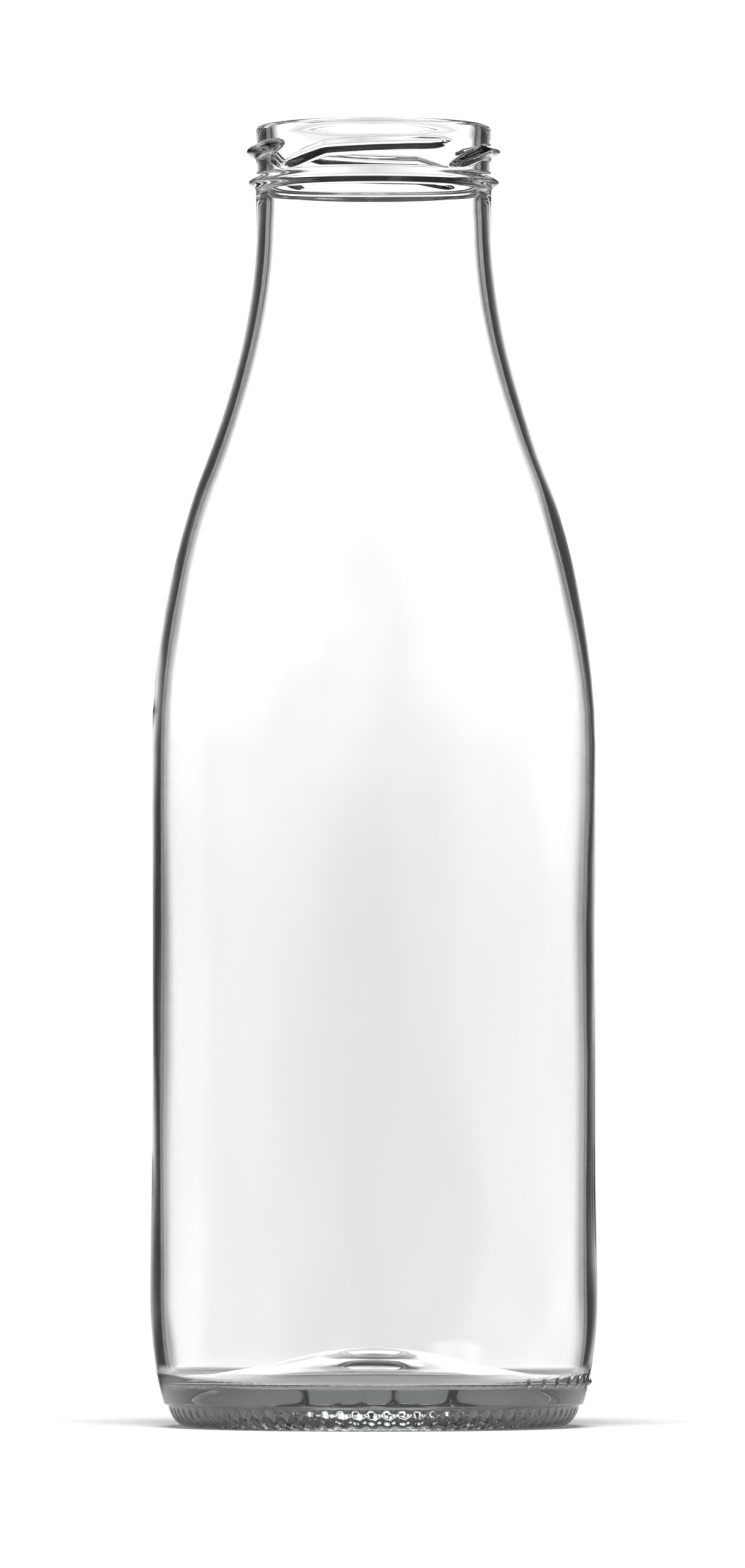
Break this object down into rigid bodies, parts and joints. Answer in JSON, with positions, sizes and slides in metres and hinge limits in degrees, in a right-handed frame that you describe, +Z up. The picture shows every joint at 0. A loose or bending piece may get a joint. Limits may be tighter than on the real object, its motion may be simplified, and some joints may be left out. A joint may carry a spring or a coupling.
{
  "type": "bottle",
  "caption": "Tall clear glass milk bottle with a wide lug-threaded mouth, round beaded neck, sloping shoulder and ribbed heel; empty, no lid.",
  "frame": {"origin": "centre of the ring the bottle stands on, at the height of that ring", "axes": "+Z up along the bottle's axis, out of the mouth; -Y is the front"},
  "size_m": [0.086, 0.086, 0.2492],
  "materials": {
    "clear_glass": "polished"
  },
  "bodies": {
    "root": {"glass_bottle": "clear_glass"}
  },
  "joints": []
}
